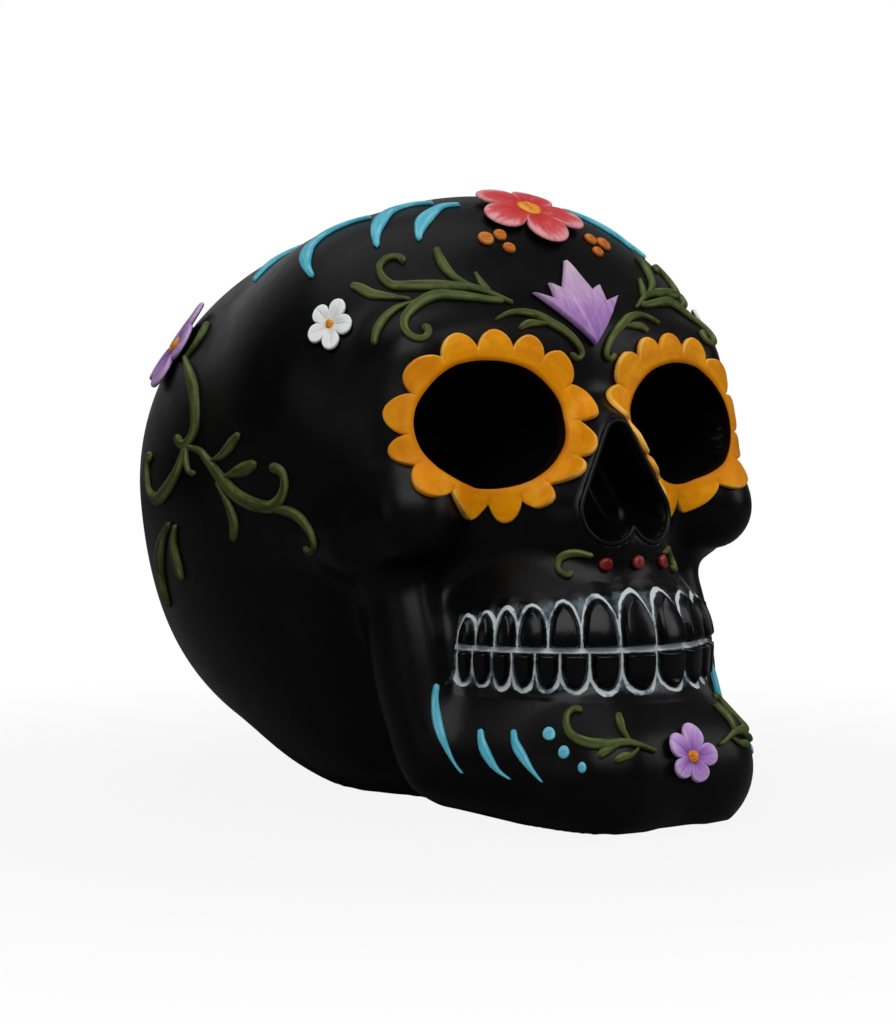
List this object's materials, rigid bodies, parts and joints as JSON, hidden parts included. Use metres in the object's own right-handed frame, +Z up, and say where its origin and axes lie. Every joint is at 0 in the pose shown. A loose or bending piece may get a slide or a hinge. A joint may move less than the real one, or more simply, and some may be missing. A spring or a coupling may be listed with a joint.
{
  "type": "skull ornament",
  "caption": "Hollow black skull ornament with raised painted flowers, vines, scalloped eye rings and brush strokes, standing on felt pads.",
  "frame": {"origin": "on the standing surface, under the middle of the ornament's box", "axes": "+Z up, the face looks along -Y, +X is the skull's own left"},
  "size_m": [0.1392, 0.1874, 0.1507],
  "materials": {
    "black_resin": "satin lacquered cast resin",
    "yellow_paint": "hand-painted satin relief",
    "olive_paint": "hand-painted satin relief",
    "turquoise_paint": "hand-painted satin stroke",
    "red_paint": "hand-painted satin relief",
    "orange_paint": "hand-painted satin relief",
    "violet_paint": "hand-painted satin relief",
    "white_paint": "hand-painted satin relief",
    "lip_red_paint": "hand-painted satin dot",
    "black_rubber": "matt moulded rubber",
    "dark_felt": "pressed felt"
  },
  "bodies": {
    "root": {"skull_casting": "black_resin", "base_plug": "black_rubber", "felt_pad_jaw_right": "dark_felt", "felt_pad_rear_right": "dark_felt", "felt_pad_jaw_left": "dark_felt", "felt_pad_rear_left": "dark_felt", "crown_flower": "red_paint", "crown_flower_eye": "orange_paint", "chin_flower": "violet_paint", "chin_flower_eye": "orange_paint", "forehead_lotus": "violet_paint", "lip_dot_middle": "lip_red_paint", "lip_dot_right": "lip_red_paint", "lip_dot_left": "lip_red_paint", "eye_ring_right": "yellow_paint", "white_flower_right": "white_paint", "white_flower_right_eye": "orange_paint", "back_flower_right": "violet_paint", "back_flower_right_eye": "orange_paint", "temple_vine_right": "olive_paint", "lotus_sprig_right": "olive_paint", "back_vine_right": "olive_paint", "chin_vine_right": "olive_paint", "lip_curl_right": "olive_paint", "back_leaf_long_right": "olive_paint", "back_leaf_short_right": "olive_paint", "crown_dot_outer_right": "orange_paint", "crown_dot_inner_right": "orange_paint", "crown_dot_low_right": "orange_paint", "crown_stroke_1_right": "turquoise_paint", "crown_stroke_2_right": "turquoise_paint", "crown_stroke_3_right": "turquoise_paint", "crown_stroke_4_right": "turquoise_paint", "jaw_stroke_1_right": "turquoise_paint", "jaw_stroke_2_right": "turquoise_paint", "jaw_stroke_3_right": "turquoise_paint", "eye_ring_left": "yellow_paint", "white_flower_left": "white_paint", "white_flower_left_eye": "orange_paint", "back_flower_left": "violet_paint", "back_flower_left_eye": "orange_paint", "temple_vine_left": "olive_paint", "lotus_sprig_left": "olive_paint", "back_vine_left": "olive_paint", "chin_vine_left": "olive_paint", "lip_curl_left": "olive_paint", "back_leaf_long_left": "olive_paint", "back_leaf_short_left": "olive_paint", "crown_dot_outer_left": "orange_paint", "crown_dot_inner_left": "orange_paint", "crown_dot_low_left": "orange_paint", "crown_stroke_1_left": "turquoise_paint", "crown_stroke_2_left": "turquoise_paint", "crown_stroke_3_left": "turquoise_paint", "crown_stroke_4_left": "turquoise_paint", "jaw_stroke_1_left": "turquoise_paint", "jaw_stroke_2_left": "turquoise_paint", "jaw_stroke_3_left": "turquoise_paint"}
  },
  "joints": []
}
